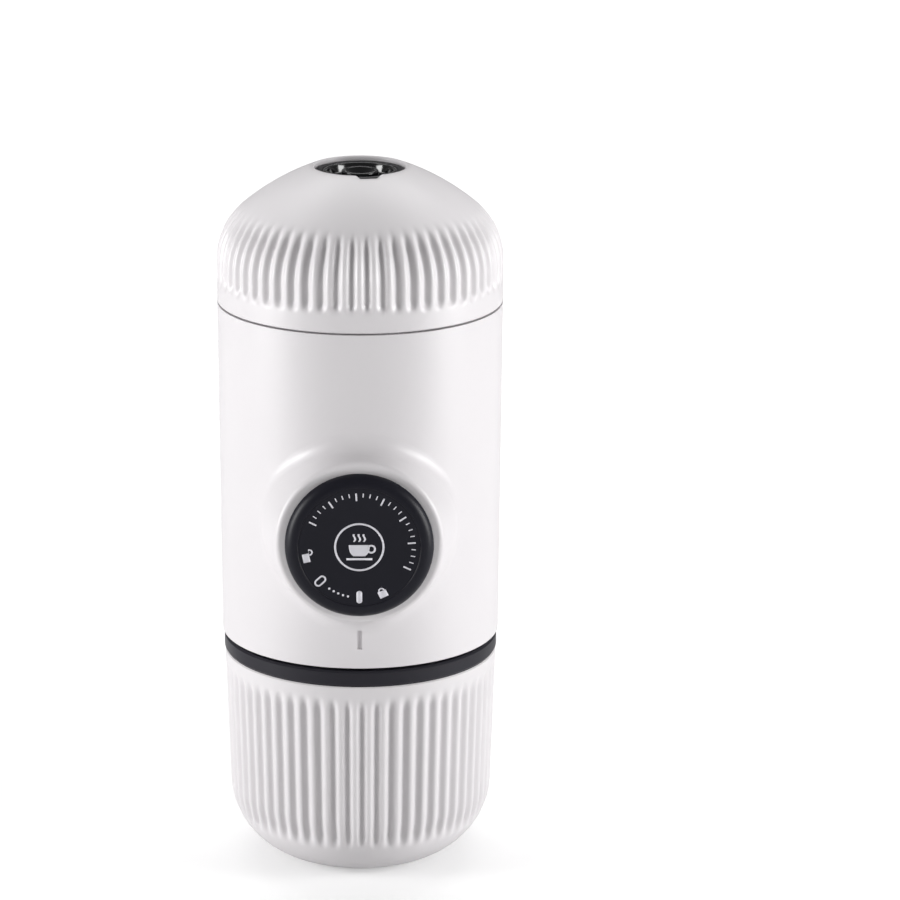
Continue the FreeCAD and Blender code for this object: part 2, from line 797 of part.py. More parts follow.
def pump_body():
    """Horizontal pump cylinder with its flange, the valve column behind and the relief boss."""
    end_y = pump_bore_end_y + pump_end_wall
    body = rod_y(pump_cylinder_r, pump_cylinder_front_y, end_y)
    body = body.fuse(rod_y(pump_flange_r, pump_flange_front_y, pump_flange_back_y))
    body = body.fuse(cylinder(column_r, column_bottom_z, column_top_z, 0, column_y))
    body = body.fuse(relief_cylinder(relief_boss_r, 0.0, relief_boss_end_x))
    cuts = [
        rod_y(pump_bore_r, pump_cylinder_front_y, pump_bore_end_y),
        rod_y(passage_r, pump_bore_end_y, column_y),
        cylinder(passage_r, column_bottom_z, column_top_z, 0, column_y),
        cylinder(valve_chamber_r, column_bottom_z, inlet_chamber_top_z, 0, column_y),
        cylinder(valve_chamber_r, outlet_seat_z, column_top_z, 0, column_y),
        cylinder(outlet_fitting_r + fit_gap, outlet_fitting_bottom_z, column_top_z, 0, column_y),
        relief_cylinder(relief_passage_r, 0.0, relief_seat_x),
        relief_cylinder(relief_bore_r, relief_seat_x, relief_boss_end_x),
    ]
    return body.cut(cuts + pump_screw_holes())


def relief_cylinder(r, x0, x1):
    return Part.makeCylinder(r, x1 - x0, Vector(x0, column_y, knob_z), Vector(1, 0, 0))


def relief_poppet():
    """Poppet of the relief valve: a cone nose in the seat and a short guide."""
    gap = ball_seat_gap
    nose = Part.makeCone(relief_passage_r * 0.5, relief_passage_r * 1.0, 0.8,
                         Vector(relief_seat_x - 0.8 + gap, column_y, knob_z), Vector(1, 0, 0))
    return nose.fuse(relief_cylinder(poppet_r, relief_seat_x + gap, relief_seat_x + poppet_length))


def relief_spring():
    x0 = relief_seat_x + poppet_length
    x1 = relief_boss_end_x - relief_cap_depth
    spring = coil(poppet_r - relief_wire_r - 0.15, relief_wire_r, x1 - x0 - 0.1, relief_turns)
    spring.rotate(Vector(0, 0, 0), Vector(0, 1, 0), 90)
    spring.translate(Vector(x0 + 0.05, column_y, knob_z))
    return spring


def relief_cap():
    """Vented plug that holds the relief spring."""
    x1 = relief_boss_end_x
    plug = relief_cylinder(relief_bore_r - fit_gap, x1 - relief_cap_depth, x1)
    plug = plug.fuse(relief_cylinder(relief_cap_flange_r, x1, x1 + relief_cap_flange))
    return plug.cut(relief_cylinder(0.7, x1 - relief_cap_depth, x1 + relief_cap_flange))


def piston_rod():
    """Piston rod with its head; the head has a groove for the seal."""
    head_r = pump_bore_r - piston_clearance
    rod = rod_y(piston_rod_r, knob_front_y + rod_seat_depth, piston_back_y)
    rod = rod.fuse(rod_y(head_r, piston_back_y, piston_front_y))
    groove_y = piston_front_y - 2.0 - piston_seal_width
    return rod.cut(tube_y(head_r + 1.0, head_r - piston_seal_depth, groove_y,
                          groove_y + piston_seal_width))


def piston_seal():
    head_r = pump_bore_r - piston_clearance
    groove_y = piston_front_y - 2.0 - piston_seal_width
    return tube_y(pump_bore_r - piston_seal_clearance, head_r - piston_seal_depth,
                  groove_y + 0.1, groove_y + piston_seal_width - 0.1)


def return_spring():
    """Coil that pushes the knob out, between the knob and the pump flange."""
    y0 = knob_back_y + 0.25
    y1 = pump_flange_front_y
    spring = coil(return_coil_r, return_wire_r, y1 - y0 - 0.1, return_turns)
    spring.rotate(Vector(0, 0, 0), Vector(1, 0, 0), -90)
    spring.translate(Vector(0, y0 + 0.05, knob_z))
    return spring


def plunger_sleeve():
    """Sleeve behind the knob, closed in front, with two bayonet lugs that stop the stroke."""
    front_y = knob_back_y - knob_web
    web_y = knob_back_y + 0.2
    sleeve = rod_y(sleeve_r, front_y, sleeve_inner_y)
    sleeve = sleeve.cut(rod_y(sleeve_r - sleeve_wall, web_y, sleeve_inner_y))
    sleeve = sleeve.cut(rod_y(piston_rod_r + guide_clearance, front_y, web_y))
    lug_ring = tube_y(sleeve_lug_r, sleeve_r - 0.3, sleeve_inner_y - sleeve_lug_length,
                      sleeve_inner_y)
    wedge = Part.makeBox(2 * sleeve_lug_r, sleeve_lug_length, 12.0,
                         Vector(-sleeve_lug_r, sleeve_inner_y - sleeve_lug_length,
                                knob_z - 6.0))
    return sleeve.fuse(lug_ring.common(wedge).Solids)


def knob_cap():
    """Black knob: a rolled rim, a recess for the face disc and a hollow skirt in the boss."""
    front = knob_front_y
    back = knob_back_y
    edge = knob_edge_r
    edge_start_r = knob_r - knob_edge_width
    edge_angle = math.asin(knob_edge_width / edge)
    edge_end_y = front + edge - edge * math.cos(edge_angle)
    edge_middle = (edge_start_r + edge * math.sin(edge_angle / 2),
                   front + edge - edge * math.cos(edge_angle / 2))
    recess_y = front + knob_face_depth + knob_face_thickness
    inner_r = knob_skirt_r - knob_skirt_wall
    socket_r = piston_rod_r + rod_boss_wall
    points = [
        (0, recess_y),
        (knob_face_r + 0.05, recess_y),
        (knob_face_r + 0.05, front + 0.1),
        (knob_face_r + 0.2, front),
        (edge_start_r, front),
        (knob_r, edge_end_y, edge_middle),
        (knob_r - 0.1, knob_rim_y - 0.4),
        (knob_r - 0.5, knob_rim_y),
        (knob_skirt_r, knob_rim_y),
        (knob_skirt_r, back),
        (inner_r, back),
        (inner_r, recess_y + knob_web),
        (socket_r, recess_y + knob_web),
        (socket_r, back - knob_web),
        (piston_rod_r + fit_gap, back - knob_web),
        (piston_rod_r + fit_gap, front + rod_seat_depth),
        (0, front + rod_seat_depth),
    ]
    return revolve_y(points)


def knob_face():
    """Dished disc set in the knob's front, which carries the printed marks."""
    front = knob_front_y + 0.1
    sag = knob_face_depth - 0.1
    dish_r = (knob_face_r ** 2 + sag ** 2) / (2 * sag)
    disc = rod_y(knob_face_r, front, knob_front_y + knob_face_depth + knob_face_thickness)
    return disc.cut(Part.makeSphere(dish_r, Vector(0, front + sag - dish_r, knob_z)))


def valve_spring(z0, z1):
    spring = coil(valve_ball_r * 0.68, valve_spring_wire_r, z1 - z0, valve_spring_turns)
    spring.translate(Vector(0, column_y, z0))
    return spring


def ball_rest(seat_z):
    """Centre height of a ball that sits on a seat edge."""
    return seat_z + math.sqrt(valve_ball_r ** 2 - passage_r ** 2) + ball_seat_gap


def spring_foot(centre_z):
    """Height at which a valve spring meets its ball."""
    coil_r = valve_ball_r * 0.68
    reach = valve_ball_r + valve_spring_wire_r
    return centre_z + math.sqrt(reach ** 2 - coil_r ** 2) - valve_spring_wire_r + 0.05


def inlet_fitting():
    """Seat of the inlet valve, with a flange on the tank socket."""
    fitting = cylinder(valve_chamber_r - fit_gap, column_bottom_z - 0.4, inlet_fitting_top_z, 0,
                       column_y)
    fitting = fitting.fuse(cylinder(inlet_fitting_flange_r, socket_top_z, column_bottom_z, 0,
                                    column_y))
    return fitting.cut(cylinder(passage_r, socket_top_z, inlet_fitting_top_z, 0, column_y))


def outlet_fitting():
    """Plug over the outlet valve that also holds the riser tube."""
    top = column_top_z + outlet_fitting_flange_h
    fitting = cylinder(outlet_fitting_r, outlet_fitting_bottom_z, column_top_z, 0, column_y)
    fitting = fitting.fuse(cylinder(outlet_fitting_flange_r, column_top_z, top, 0, column_y))
    seal_z = top - riser_seal_section - fit_gap
    return fitting.cut([
        cylinder(passage_r, outlet_fitting_bottom_z, top, 0, column_y),
        cylinder(riser_r + fit_gap, riser_shoulder_z, top, 0, column_y),
        cylinder(riser_r + riser_seal_section + fit_gap, seal_z, top, 0, column_y),
    ])


def riser_tube():
    return tube(riser_r, riser_r - riser_wall, riser_shoulder_z,
                head_bottom_z + riser_seat_depth - fit_gap, 0, column_y)


def riser_seals():
    """Square rings round both ends of the riser tube."""
    top = column_top_z + outlet_fitting_flange_h
    rings = []
    for z0 in (top - riser_seal_section, head_bottom_z):
        rings.append(tube(riser_r + riser_seal_section, riser_r, z0, z0 + riser_seal_section, 0,
                          column_y))
    return Part.makeCompound(rings)


def tank_socket():
    """Black base of the body: threaded skirt for the tank's neck and the intake."""
    root_r = tank_thread_r + thread_height + thread_crest_gap
    outer_r = body_bore_r - fit_gap
    socket = cylinder(outer_r, body_bottom_z + socket_skirt_lift, socket_top_z)
    socket = socket.cut(cylinder(root_r, body_bottom_z + socket_skirt_lift, socket_roof_z))
    height = thread_height + thread_crest_gap - thread_root_gap
    socket = socket.fuse(thread_ridges(root_r, height, body_bottom_z + socket_skirt_lift + 0.6,
                                       False, 180.0 / thread_starts))
    hole = cylinder(screw_shank_r + fit_gap, body_bottom_z, socket_top_z, socket_screw_circle_r)
    sink = cylinder(screw_head_r + 0.02, body_bottom_z,
                    body_bottom_z + socket_skirt_lift + screw_head_h, socket_screw_circle_r)
    cuts = [
        cylinder(passage_r, socket_roof_z, socket_top_z, 0, column_y),
        cylinder(socket_intake_r + 0.1, socket_roof_z, socket_roof_z + intake_screen_thickness,
                 0, column_y - 2.0),
    ]
    return socket.cut(cuts + around(hole.fuse(sink), 3, screw_turn))


def socket_screws():
    head_z = body_bottom_z + socket_skirt_lift
    return screws_up(socket_screw_circle_r, head_z, socket_top_z - head_z + screw_depth - 1.6, 3,
                     screw_turn, True)


def intake_screen():
    """Fine steel screen under the intake."""
    z0 = socket_roof_z
    disc = cylinder(socket_intake_r, z0, z0 + intake_screen_thickness, 0, column_y - 2.0)
    holes = []
    for ring in (1, 2):
        for step in range(6 * ring):
            angle = math.pi * step / (3 * ring)
            r = 2.2 * ring
            holes.append(cylinder(hole_r, z0, z0 + intake_screen_thickness, r * math.cos(angle),
                                  column_y - 2.0 + r * math.sin(angle)))
    return disc.cut(holes)


def tank_gasket():
    inner = tank_thread_r - tank_gasket_inset - tank_gasket_width
    return tube(tank_thread_r - tank_gasket_inset, inner, neck_top_z,
                neck_top_z + tank_gasket_height)


def water_tank():
    """Clear tank with a rounded foot and a threaded neck."""
    corner = tank_corner_r
    centre_z = tank_bottom_z + corner
    inner_corner = corner - tank_wall
    neck_inner_r = tank_thread_r - neck_wall
    floor_z = tank_bottom_z + tank_wall
    points = [
        (0, tank_bottom_z),
        (tank_r - corner, tank_bottom_z),
        (tank_r, centre_z, on_arc(tank_r - corner, centre_z, corner, -45)),
        (tank_r, cup_height),
        (tank_thread_r, cup_height),
        (tank_thread_r, neck_top_z),
        (neck_inner_r, neck_top_z),
        (neck_inner_r, cup_height - 2.0),
        (tank_r - tank_wall, cup_height - 4.0),
        (tank_r - tank_wall, centre_z),
        (tank_r - corner, floor_z, on_arc(tank_r - corner, centre_z, inner_corner, -45)),
        (0, floor_z),
    ]
    tank = revolve(points)
    tank = tank.fuse(thread_ridges(tank_thread_r, thread_height,
                                   body_bottom_z + socket_skirt_lift + 0.6, True, 0.0))
    return tank.cut(cylinder(air_valve_stem_r + fit_gap, tank_bottom_z, floor_z))


def tank_air_valve():
    """Soft mushroom valve that lets air into the tank."""
    floor_z = tank_bottom_z + tank_wall
    valve = cylinder(air_valve_stem_r, tank_bottom_z, floor_z)
    valve = valve.fuse(cylinder(air_valve_head_r, floor_z, floor_z + air_valve_head_h))
    return valve.fuse(cylinder(air_valve_stem_r + 0.8, tank_bottom_z - 0.8, tank_bottom_z))


def tank_collar():
    """Black ring on the tank with a spigot that holds the cup."""
    inner_r = tank_thread_r + fit_gap
    spigot_r = cup_bore_r(cup_height - collar_spigot_length) - 0.3
    spigot_z = cup_height - collar_spigot_length
    seal_z = cup_height - 1.6
    points = [
        (inner_r, cup_height),
        (spigot_r - collar_spigot_wall, cup_height),
        (spigot_r - collar_spigot_wall, spigot_z),
        (spigot_r, spigot_z),
        (spigot_r, seal_z - cup_seal_height),
        (spigot_r - cup_seal_depth, seal_z - cup_seal_height),
        (spigot_r - cup_seal_depth, seal_z),
        (spigot_r, seal_z),
        (spigot_r, cup_height),
        (collar_r - 0.35, cup_height),
        (collar_r, cup_height + 0.6),
        (collar_r, collar_top_z - 0.4),
        (collar_r - 0.4, collar_top_z),
        (inner_r, collar_top_z),
    ]
    return revolve(points)


def cup_seal():
    spigot_r = cup_bore_r(cup_height - collar_spigot_length) - 0.3
    z1 = cup_height - 1.6 - 0.05
    z0 = z1 - cup_seal_height + 0.1
    return tube(cup_bore_r(z0) - cup_seal_gap, spigot_r - cup_seal_depth, z0, z1)


def cup_side_r(z):
    """Outer radius of the cup's side at height z."""
    return cup_low_r + (cup_rim_r - cup_low_r) * (z - cup_corner_r) / (cup_height - cup_corner_r)


def cup_bore_r(z):
    return cup_side_r(z) - cup_wall


def portable_cup():
    """White ribbed cup that covers the tank and stands on its flat base."""
    corner = cup_corner_r
    flat_r = cup_low_r - corner
    inner_corner = corner - cup_wall
    centre_z = cup_floor + inner_corner
    bore_low_r = cup_bore_r(centre_z)
    points = [
        (0, 0),
        (flat_r, 0),
        (cup_low_r, corner, on_arc(flat_r, corner, corner, -45)),
        (cup_rim_r, cup_height),
        (cup_bore_r(cup_height), cup_height),
        (bore_low_r, centre_z),
        (bore_low_r - inner_corner, cup_floor,
         on_arc(bore_low_r - inner_corner, centre_z, inner_corner, -45)),
        (0, cup_floor),
    ]
    cup = revolve(points)
    cutter = groove_cutter(
        [(cup_side_r(cup_groove_top_z), cup_groove_top_z), (cup_low_r, corner)],
        (flat_r, corner, corner, -cup_groove_corner_angle),
        groove_end_r * 0.6, groove_runout)
    start = -90.0 + cup_rib_turn
    return cup.cut(around(cutter, cup_rib_count, start))


def inlet_ball():
    return Part.makeSphere(valve_ball_r, Vector(0, column_y, ball_rest(inlet_fitting_top_z)))


def outlet_ball():
    return Part.makeSphere(valve_ball_r, Vector(0, column_y, ball_rest(outlet_seat_z)))


def inlet_spring():
    return valve_spring(spring_foot(ball_rest(inlet_fitting_top_z)), inlet_chamber_top_z - 0.05)


def outlet_spring():
    return valve_spring(spring_foot(ball_rest(outlet_seat_z)), outlet_fitting_bottom_z - 0.05)


def main():
    os.makedirs("parts", exist_ok=True)
    makers = [
        outlet_shell, filter_holder, spout_nozzle, filter_basket, brew_gasket, brew_head,
        shower_screen, shower_screw, head_screws, body_shell, knob_guide, pump_body, pump_screws,
        piston_rod, piston_seal, return_spring, plunger_sleeve, knob_cap, knob_face,
        inlet_fitting, inlet_ball, inlet_spring, outlet_fitting, outlet_ball, outlet_spring,
        riser_tube, riser_seals, relief_poppet, relief_spring, relief_cap, tank_socket,
        socket_screws, intake_screen, tank_gasket, water_tank, tank_collar, cup_seal,
        tank_air_valve, portable_cup,
    ]
    for maker in makers:
        save(maker(), maker.__name__)


main()
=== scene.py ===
"""Handheld manual espresso maker: ribbed white shells, black knob and collar, and what shows
when it is taken apart. Laid out as an add-on; all lengths in metres unless a name says mm."""
import math

import bmesh
import bpy
from bpy.props import (FloatProperty, FloatVectorProperty, IntProperty, PointerProperty,
                       StringProperty)
from mathutils import Matrix, Vector


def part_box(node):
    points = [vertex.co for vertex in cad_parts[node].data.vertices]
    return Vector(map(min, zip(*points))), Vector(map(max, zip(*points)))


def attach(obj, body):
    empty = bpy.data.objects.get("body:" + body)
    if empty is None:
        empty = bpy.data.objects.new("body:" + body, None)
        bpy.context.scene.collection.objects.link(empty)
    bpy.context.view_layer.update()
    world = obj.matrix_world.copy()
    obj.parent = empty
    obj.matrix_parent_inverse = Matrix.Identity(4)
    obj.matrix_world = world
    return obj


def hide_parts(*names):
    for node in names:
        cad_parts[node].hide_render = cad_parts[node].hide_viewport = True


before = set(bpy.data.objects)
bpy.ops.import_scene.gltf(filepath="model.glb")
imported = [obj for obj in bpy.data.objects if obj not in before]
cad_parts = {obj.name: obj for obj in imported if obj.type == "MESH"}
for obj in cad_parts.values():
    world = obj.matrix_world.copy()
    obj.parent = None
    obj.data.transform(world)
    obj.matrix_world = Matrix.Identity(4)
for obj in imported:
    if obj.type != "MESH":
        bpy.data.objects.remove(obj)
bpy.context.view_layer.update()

bl_info = {
    "name": "Manual Espresso Maker",
    "version": (1, 0, 0),
    "blender": (4, 5, 0),
    "location": "View3D > Sidebar > Espresso Maker",
    "description": "Builds the visible shells, marks and finishes of a hand-pumped espresso maker",
    "category": "Object",
}

MM = 0.001
CROWN_START_DEG = 49.8  # where the cover's round corner ends and its crown starts
RIB_STEPS = 12  # mesh steps to one rib


# Places read from the frame
def low_z(node):
    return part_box(node)[0].z


def high_z(node):
    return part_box(node)[1].z


def radius_x(node):
    low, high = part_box(node)
    return (high.x - low.x) / 2


COVER_R = radius_x("outlet_shell")
COVER_BOTTOM = low_z("outlet_shell")
COVER_TOP = high_z("outlet_shell")
CUP_TOP = high_z("portable_cup")
CUP_RIM_R = radius_x("portable_cup")
KNOB_LOW, KNOB_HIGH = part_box("knob_cap")
KNOB_Z = (KNOB_LOW.z + KNOB_HIGH.z) / 2
FACE_LOW, FACE_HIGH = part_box("knob_face")
FACE_R = (FACE_HIGH.x - FACE_LOW.x) / 2
FACE_RIM_Y = FACE_LOW.y


# Colour
def linear(hex_colour):
    """sRGB hex such as "#F2F0F1" as a linear RGBA colour."""
    digits = hex_colour.lstrip("#")
    channels = []
    for start in (0, 2, 4):
        value = int(digits[start:start + 2], 16) / 255
        channels.append(value / 12.92 if value <= 0.04045 else ((value + 0.055) / 1.055) ** 2.4)
    return (*channels, 1.0)


# Settings
class EspressoShellSettings(bpy.types.PropertyGroup):
    """Sizes of the ribbed cover and the cup."""
    cover_ribs: IntProperty(name="Cover ribs", description="Ribs round the outlet cover",
                            default=60, min=12, max=120)
    cup_ribs: IntProperty(name="Cup ribs", description="Ribs round the cup",
                          default=59, min=12, max=120)
    rib_depth: FloatProperty(name="Rib depth", description="Depth of the grooves between ribs",
                             default=0.95 * MM, unit="LENGTH")
    cup_rib_turn: FloatProperty(name="Cup rib turn", description="Turn of the cup's ribs",
                                default=math.radians(0.9), unit="ROTATION")
    cover_wall: FloatProperty(name="Cover wall", description="Wall of the outlet cover",
                              default=1.8 * MM, unit="LENGTH")
    cup_wall: FloatProperty(name="Cup wall", description="Wall of the cup",
                            default=2.2 * MM, unit="LENGTH")
    cup_floor: FloatProperty(name="Cup floor", description="Thickness of the cup's floor",
                             default=2.4 * MM, unit="LENGTH")


class EspressoColourSettings(bpy.types.PropertyGroup):
    """Main colours, as sRGB hex."""
    shell: StringProperty(name="Shell", description="White shells", default="#DFDCDE")
    knob: StringProperty(name="Knob", description="Black knob", default="#1C1C25")
    print_ink: StringProperty(name="Print", description="Marks on the knob", default="#DCDBE2")
    collar: StringProperty(name="Collar", description="Black ring", default="#2B2A31")
    tank: StringProperty(name="Tank", description="Smoked clear tank", default="#8A8A90")


class EspressoStageSettings(bpy.types.PropertyGroup):
    """Camera and lamps."""
    camera_place: FloatVectorProperty(name="Camera", description="Place of the camera",
                                      default=(0.005743, -0.8846, 0.3486), unit="LENGTH")
    pitch: FloatProperty(name="Pitch", description="Downward tilt of the camera",
                         default=0.282, unit="ROTATION")
    yaw: FloatProperty(name="Yaw", description="Turn of the camera to the right",
                       default=0.0143, unit="ROTATION")
    roll: FloatProperty(name="Roll", description="Roll of the camera",
                        default=math.radians(-0.28), unit="ROTATION")
    lens: FloatProperty(name="Lens", description="Focal length in millimetres", default=168.0)
    ambient: FloatProperty(name="Ambient", description="Level of the even light", default=0.2)


# Node materials
def add(tree, kind, links=(), **settings):
    """Adds a node, sets its sockets and properties, and links (output, input) pairs to it."""
    node = tree.nodes.new(kind)
    for name, value in settings.items():
        key = name.replace("_", " ")
        sockets = {socket.name.lower(): socket for socket in node.inputs}
        if key in sockets:
            sockets[key].default_value = value
        else:
            setattr(node, name, value)
    for output, input_name in links:
        tree.links.new(output, node.inputs[input_name])
    return node


def new_material(name, **principled):
    """A material with a principled shader; returns it, its tree and the shader."""
    material = bpy.data.materials.new(name)
    material.use_nodes = True
    tree = material.node_tree
    tree.nodes.clear()
    shader = add(tree, "ShaderNodeBsdfPrincipled")
    for key, value in principled.items():
        shader.inputs[key.replace("_", " ")].default_value = value
    output = add(tree, "ShaderNodeOutputMaterial")
    tree.links.new(shader.outputs["BSDF"], output.inputs["Surface"])
    return material, tree, shader


def mapped(tree, output, from_low, from_high, to_low, to_high):
    """A value moved from one range to another, and held at its ends."""
    node = add(tree, "ShaderNodeMapRange", [(output, "Value")])
    node.inputs["From Min"].default_value = from_low
    node.inputs["From Max"].default_value = from_high
    node.inputs["To Min"].default_value = to_low
    node.inputs["To Max"].default_value = to_high
    return node.outputs["Result"]


def grain(tree, shader, grain_mm, strength, distance_mm, roughness, spread):
    """Fine surface grain of a real size: bump, and a little play in the roughness."""
    cloud_mm = 9.0
    place = add(tree, "ShaderNodeTexCoord")
    noise = add(tree, "ShaderNodeTexNoise", [(place.outputs["Object"], "Vector")],
                scale=1.0 / (grain_mm * MM), detail=3.0, roughness=0.6)
    bump = add(tree, "ShaderNodeBump", [(noise.outputs["Fac"], "Height")],
               strength=strength, distance=distance_mm * MM)
    tree.links.new(bump.outputs["Normal"], shader.inputs["Normal"])
    cloud = add(tree, "ShaderNodeTexNoise", [(place.outputs["Object"], "Vector")],
                scale=1.0 / (cloud_mm * MM), detail=4.0)
    play = mapped(tree, cloud.outputs["Fac"], 0.3, 0.7, roughness - spread, roughness + spread)
    tree.links.new(play, shader.inputs["Roughness"])


def tinted(tree, shader, colour_a, colour_b, scale_mm):
    """A slight colour change over the surface, from one colour to the other."""
    place = add(tree, "ShaderNodeTexCoord")
    cloud = add(tree, "ShaderNodeTexNoise", [(place.outputs["Object"], "Vector")],
                scale=1.0 / (scale_mm * MM), detail=3.0)
    mix = add(tree, "ShaderNodeMix", [(cloud.outputs["Fac"], "Factor")], data_type="RGBA")
    mix.inputs[6].default_value = linear(colour_a)
    mix.inputs[7].default_value = linear(colour_b)
    tree.links.new(mix.outputs[2], shader.inputs["Base Color"])


def shade(hex_colour, factor):
    """A hex colour made lighter or darker."""
    digits = hex_colour.lstrip("#")
    parts = [int(digits[k:k + 2], 16) for k in (0, 2, 4)]
    return "#" + "".join(f"{max(0, min(255, round(part * factor))):02X}" for part in parts)


def white_abs(colour):
    """ABS moulded in a fine spark texture: soft sheen, no mirror reflection."""
    material, tree, shader = new_material("white_abs_satin", IOR=1.53, Roughness=0.38,
                                          Specular_IOR_Level=0.5)
    tinted(tree, shader, colour, shade(colour, 0.985), 22.0)
    # Spark texture is about 0.05 mm; drawn at 0.3 mm so that it shows
    grain(tree, shader, 0.3, 0.05, 0.02, roughness=0.38, spread=0.04)
    return material


def black_polymer(name, colour, roughness, grain_mm=0.35, strength=0.12):
    """Black ABS or nylon moulding with fine texture: dark with a soft grey sheen."""
    material, tree, shader = new_material(name, IOR=1.5, Roughness=roughness,
                                          Specular_IOR_Level=0.2)
    tinted(tree, shader, colour, shade(colour, 0.85), 12.0)
    grain(tree, shader, grain_mm, strength, 0.03, roughness=roughness, spread=0.05)
    return material


def gloss_polymer():
    """Polished black polycarbonate in the mouth: deep black with sharp highlights."""
    material, tree, shader = new_material("black_polycarbonate_polished", IOR=1.58, Roughness=0.12)
    tinted(tree, shader, "#0A0A0C", "#0E0E11", 10.0)
    grain(tree, shader, 2.0, 0.05, 0.02, roughness=0.12, spread=0.04)
    return material


def stainless(name, roughness, brushed_mm=0.25):
    """Stainless steel, pressed and lightly brushed: bright with a fine directional grain."""
    material, tree, shader = new_material(name, Metallic=1.0, Roughness=roughness)
    place = add(tree, "ShaderNodeTexCoord")
    stretch = add(tree, "ShaderNodeMapping", [(place.outputs["Object"], "Vector")],
                  scale=(1.0, 1.0, 0.08))
    lines = add(tree, "ShaderNodeTexNoise", [(stretch.outputs["Vector"], "Vector")],
                scale=1.0 / (brushed_mm * MM), detail=4.0)
    play = mapped(tree, lines.outputs["Fac"], 0.0, 1.0, roughness - 0.08, roughness + 0.12)
    tree.links.new(play, shader.inputs["Roughness"])
    bump = add(tree, "ShaderNodeBump", [(lines.outputs["Fac"], "Height")],
               strength=0.08, distance=0.02 * MM)
    tree.links.new(bump.outputs["Normal"], shader.inputs["Normal"])
    tinted(tree, shader, "#C9C7C3", "#B9B8B6", 6.0)
    return material


def silicone(name, colour, roughness=0.55):
    """Moulded silicone rubber: matt, slightly soft at the edges."""
    material, tree, shader = new_material(name, IOR=1.41, Roughness=roughness,
                                          Subsurface_Weight=0.05)
    shader.inputs["Subsurface Radius"].default_value = (0.001, 0.001, 0.001)
    tinted(tree, shader, colour, shade(colour, 0.9), 5.0)
    grain(tree, shader, 0.4, 0.08, 0.02, roughness=roughness, spread=0.06)
    return material


def smoked_copolyester(colour):
    """Blow-moulded smoked copolyester: clear grey with slight waviness."""
    material, tree, shader = new_material("smoked_copolyester", IOR=1.57, Roughness=0.08,
                                          Transmission_Weight=0.85)
    tinted(tree, shader, colour, shade(colour, 0.94), 14.0)
    grain(tree, shader, 6.0, 0.12, 0.06, roughness=0.08, spread=0.03)
    return material


def print_ink(colour):
    """Pad-printed ink: flat, slightly raised and matt."""
    material, tree, shader = new_material("pad_print_ink", IOR=1.5, Roughness=0.5)
    tinted(tree, shader, colour, shade(colour, 0.96), 1.5)
    grain(tree, shader, 0.15, 0.1, 0.01, roughness=0.5, spread=0.05)
    return material


def dress(obj, material):
    """Gives an object one material."""
    obj.data.materials.clear()
    obj.data.materials.append(material)


def dress_nodes(names, material):
    """Gives nodes of the frame one material and leaves their meshes as they are."""
    for name in names:
        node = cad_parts[name]
        if node.data.materials:
            for index in range(len(node.data.materials)):
                node.data.materials[index] = material
        else:
            node.data.materials.append(material)


# Mesh helpers
def finish_piece(bm, name, body, material, smooth_angle=35.0, replaces=()):
    """Turns a bmesh into a piece at the origin that rides on a body."""
    bmesh.ops.recalc_face_normals(bm, faces=bm.faces)
    mesh = bpy.data.meshes.new(name)
    bm.to_mesh(mesh)
    bm.free()
    for polygon in mesh.polygons:
        polygon.use_smooth = True
    mesh.set_sharp_from_angle(angle=math.radians(smooth_angle))
    obj = bpy.data.objects.new(name, mesh)
    bpy.context.scene.collection.objects.link(obj)
    dress(obj, material)
    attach(obj, body)
    if replaces:
        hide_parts(*replaces)
    return obj


def spin_profile(points, steps, closed=True):
    """A bmesh turned about Z from (r, z) points; closed joins the last point to the first."""
    bm = bmesh.new()
    verts = [bm.verts.new((r, 0.0, z)) for r, z in points]
    edges = [bm.edges.new(pair) for pair in zip(verts, verts[1:])]
    if closed:
        edges.append(bm.edges.new((verts[-1], verts[0])))
    bmesh.ops.spin(bm, geom=verts + edges, cent=(0, 0, 0), axis=(0, 0, 1),
                   angle=2 * math.pi, steps=steps, use_merge=True)
    bmesh.ops.remove_doubles(bm, verts=bm.verts, dist=1e-7)
    return bm


def arc_points(centre_r, centre_z, radius, first_deg, last_deg, count):
    """Evenly spaced (r, z) points on an arc, without its first point."""
    points = []
    for step in range(1, count + 1):
        angle = math.radians(first_deg + (last_deg - first_deg) * step / count)
        points.append((centre_r + radius * math.cos(angle), centre_z + radius * math.sin(angle)))
    return points


def line_points(start, end, count):
    """Evenly spaced (r, z) points on a line, without its first point."""
    return [(start[0] + (end[0] - start[0]) * k / count, start[1] + (end[1] - start[1]) * k / count)
            for k in range(1, count + 1)]


def smooth(low, high, value):
    """Smooth step from 0 at low to 1 at high."""
    share = max(0.0, min(1.0, (value - low) / (high - low)))
    return share * share * (3 - 2 * share)


def rib_groove(angle, count):
    """0 on a rib's ridge, 1 in the middle of a groove: round ridges, slightly narrower grooves."""
    return ((1 + math.cos(angle * count)) / 2) ** 1.25


def turn_about_z(bm, angle):
    """Turns a whole bmesh about the object's axis."""
    bmesh.ops.rotate(bm, verts=bm.verts, cent=(0, 0, 0), matrix=Matrix.Rotation(angle, 3, "Z"))


